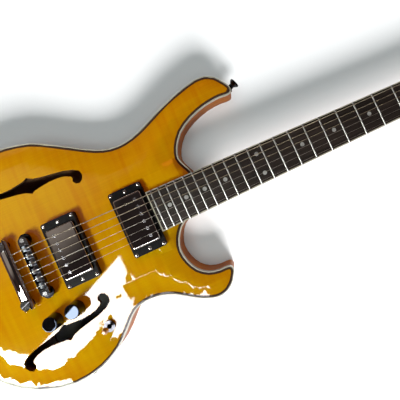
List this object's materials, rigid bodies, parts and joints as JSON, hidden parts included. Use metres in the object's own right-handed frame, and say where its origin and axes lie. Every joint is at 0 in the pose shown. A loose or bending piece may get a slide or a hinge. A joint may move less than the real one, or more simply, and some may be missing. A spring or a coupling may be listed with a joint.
{
  "type": "semi-hollow electric guitar",
  "caption": "Double-cutaway semi-hollow electric guitar with f-holes, twin humbuckers, tune-o-matic style bridge and stop tailpiece, lying on its back.",
  "frame": {"origin": "on the flat back of the body, on the centre line, under the bridge line where the scale length ends", "axes": "+X along the strings towards the headstock, +Y towards the bass side, +Z out of the top"},
  "size_m": [0.9718, 0.332, 0.0719],
  "materials": {
    "flame_maple": "amber stained flamed maple under clear gloss lacquer",
    "mahogany": "orange-brown stained mahogany under gloss lacquer",
    "rosewood": "dark open-grained rosewood, satin",
    "cream_binding": "cream plastic binding",
    "bone": "polished bone",
    "black_plastic": "glossy black moulded plastic",
    "chrome": "polished chrome plate",
    "steel": "plain steel",
    "bronze_wire": "wound nickel-steel string"
  },
  "bodies": {
    "root": {"top_plate": "flame_maple", "body_back": "mahogany", "neck": "mahogany", "fingerboard": "rosewood", "top_binding": "cream_binding", "fingerboard_binding": "cream_binding", "nut": "bone", "control_cover": "black_plastic", "truss_rod_cover": "black_plastic", "neck_pickup_ring": "black_plastic", "bridge_pickup_ring": "black_plastic", "strap_button_horn": "black_plastic", "strap_button_tail": "black_plastic", "bridge_base": "chrome", "stop_tailpiece": "chrome", "jack_plate": "chrome", "output_jack": "chrome", "bridge_post_bass": "chrome", "bridge_post_treble": "chrome", "tailpiece_stud_bass": "chrome", "tailpiece_stud_treble": "chrome", "tuner_housing_1": "chrome", "tuner_housing_2": "chrome", "tuner_housing_3": "chrome", "tuner_housing_4": "chrome", "tuner_housing_5": "chrome", "tuner_housing_6": "chrome", "truss_rod": "steel", "volume_pot": "steel", "tone_pot": "steel", "switch_body": "steel", "string_1": "steel", "string_2": "steel", "string_3": "steel", "string_4": "bronze_wire", "string_5": "bronze_wire", "string_6": "bronze_wire"},
    "tuner_button_1": {"tuner_button_1": "chrome"},
    "tuner_button_2": {"tuner_button_2": "chrome"},
    "tuner_button_3": {"tuner_button_3": "chrome"},
    "tuner_button_4": {"tuner_button_4": "chrome"},
    "tuner_button_5": {"tuner_button_5": "chrome"},
    "tuner_button_6": {"tuner_button_6": "chrome"},
    "tuner_post_1": {"tuner_post_1": "chrome"},
    "tuner_post_2": {"tuner_post_2": "chrome"},
    "tuner_post_3": {"tuner_post_3": "chrome"},
    "tuner_post_4": {"tuner_post_4": "chrome"},
    "tuner_post_5": {"tuner_post_5": "chrome"},
    "tuner_post_6": {"tuner_post_6": "chrome"},
    "saddle_1": {"saddle_1": "chrome"},
    "saddle_2": {"saddle_2": "chrome"},
    "saddle_3": {"saddle_3": "chrome"},
    "saddle_4": {"saddle_4": "chrome"},
    "saddle_5": {"saddle_5": "chrome"},
    "saddle_6": {"saddle_6": "chrome"},
    "neck_pickup": {"neck_pickup": "chrome"},
    "bridge_pickup": {"bridge_pickup": "chrome"},
    "volume_knob": {"volume_knob": "black_plastic"},
    "tone_knob": {"tone_knob": "black_plastic"},
    "switch_lever": {"switch_lever": "chrome"}
  },
  "joints": [
    {"name": "tuner_button_turn_1", "type": "hinge", "parent": "root", "child": "tuner_button_1", "pos_m": [0.68236, 0.024, 0.0203], "axis": [0, 1, 0], "continuous": true},
    {"name": "tuner_post_turn_1", "type": "hinge", "parent": "root", "child": "tuner_post_1", "pos_m": [0.67752, 0.024, 0.03913], "axis": [0.1219, 0, 0.9925], "continuous": true},
    {"name": "tuner_button_turn_2", "type": "hinge", "parent": "root", "child": "tuner_button_2", "pos_m": [0.72206, 0.02, 0.01543], "axis": [0, 1, 0], "continuous": true},
    {"name": "tuner_post_turn_2", "type": "hinge", "parent": "root", "child": "tuner_post_2", "pos_m": [0.71722, 0.02, 0.03426], "axis": [0.1219, 0, 0.9925], "continuous": true},
    {"name": "tuner_button_turn_3", "type": "hinge", "parent": "root", "child": "tuner_button_3", "pos_m": [0.76176, 0.016, 0.01055], "axis": [0, 1, 0], "continuous": true},
    {"name": "tuner_post_turn_3", "type": "hinge", "parent": "root", "child": "tuner_post_3", "pos_m": [0.75692, 0.016, 0.02938], "axis": [0.1219, 0, 0.9925], "continuous": true},
    {"name": "tuner_button_turn_4", "type": "hinge", "parent": "root", "child": "tuner_button_4", "pos_m": [0.68236, -0.024, 0.0203], "axis": [0, 1, 0], "continuous": true},
    {"name": "tuner_post_turn_4", "type": "hinge", "parent": "root", "child": "tuner_post_4", "pos_m": [0.67752, -0.024, 0.03913], "axis": [0.1219, 0, 0.9925], "continuous": true},
    {"name": "tuner_button_turn_5", "type": "hinge", "parent": "root", "child": "tuner_button_5", "pos_m": [0.72206, -0.02, 0.01543], "axis": [0, 1, 0], "continuous": true},
    {"name": "tuner_post_turn_5", "type": "hinge", "parent": "root", "child": "tuner_post_5", "pos_m": [0.71722, -0.02, 0.03426], "axis": [0.1219, 0, 0.9925], "continuous": true},
    {"name": "tuner_button_turn_6", "type": "hinge", "parent": "root", "child": "tuner_button_6", "pos_m": [0.76176, -0.016, 0.01055], "axis": [0, 1, 0], "continuous": true},
    {"name": "tuner_post_turn_6", "type": "hinge", "parent": "root", "child": "tuner_post_6", "pos_m": [0.75692, -0.016, 0.02938], "axis": [0.1219, 0, 0.9925], "continuous": true},
    {"name": "saddle_slide_1", "type": "slide", "parent": "root", "child": "saddle_1", "axis": [1, 0, 0], "range_m": [-0.0018, 0.0018]},
    {"name": "saddle_slide_2", "type": "slide", "parent": "root", "child": "saddle_2", "axis": [1, 0, 0], "range_m": [-0.0018, 0.0018]},
    {"name": "saddle_slide_3", "type": "slide", "parent": "root", "child": "saddle_3", "axis": [1, 0, 0], "range_m": [-0.0018, 0.0018]},
    {"name": "saddle_slide_4", "type": "slide", "parent": "root", "child": "saddle_4", "axis": [1, 0, 0], "range_m": [-0.0018, 0.0018]},
    {"name": "saddle_slide_5", "type": "slide", "parent": "root", "child": "saddle_5", "axis": [1, 0, 0], "range_m": [-0.0018, 0.0018]},
    {"name": "saddle_slide_6", "type": "slide", "parent": "root", "child": "saddle_6", "axis": [1, 0, 0], "range_m": [-0.0018, 0.0018]},
    {"name": "neck_pickup_height", "type": "slide", "parent": "root", "child": "neck_pickup", "axis": [0, 0, 1], "range_m": [-0.003, 0.0005]},
    {"name": "bridge_pickup_height", "type": "slide", "parent": "root", "child": "bridge_pickup", "axis": [0, 0, 1], "range_m": [-0.003, 0.0005]},
    {"name": "volume_knob_turn", "type": "hinge", "parent": "root", "child": "volume_knob", "pos_m": [0.02651, -0.072, 0], "axis": [0, 0, 1], "range_deg": [-150, 150]},
    {"name": "tone_knob_turn", "type": "hinge", "parent": "root", "child": "tone_knob", "pos_m": [-0.00498, -0.075, 0], "axis": [0, 0, 1], "range_deg": [-150, 150]},
    {"name": "switch_lever_tilt", "type": "hinge", "parent": "root", "child": "switch_lever", "pos_m": [0.05401, -0.112, 0.04587], "axis": [0, 1, 0], "range_deg": [-12, 12]}
  ],
  "couplings": [
    {"joint": "tuner_post_turn_1", "follows": "tuner_button_turn_1", "ratio": 0.071429},
    {"joint": "tuner_post_turn_2", "follows": "tuner_button_turn_2", "ratio": 0.071429},
    {"joint": "tuner_post_turn_3", "follows": "tuner_button_turn_3", "ratio": 0.071429},
    {"joint": "tuner_post_turn_4", "follows": "tuner_button_turn_4", "ratio": 0.071429},
    {"joint": "tuner_post_turn_5", "follows": "tuner_button_turn_5", "ratio": 0.071429},
    {"joint": "tuner_post_turn_6", "follows": "tuner_button_turn_6", "ratio": 0.071429}
  ]
}
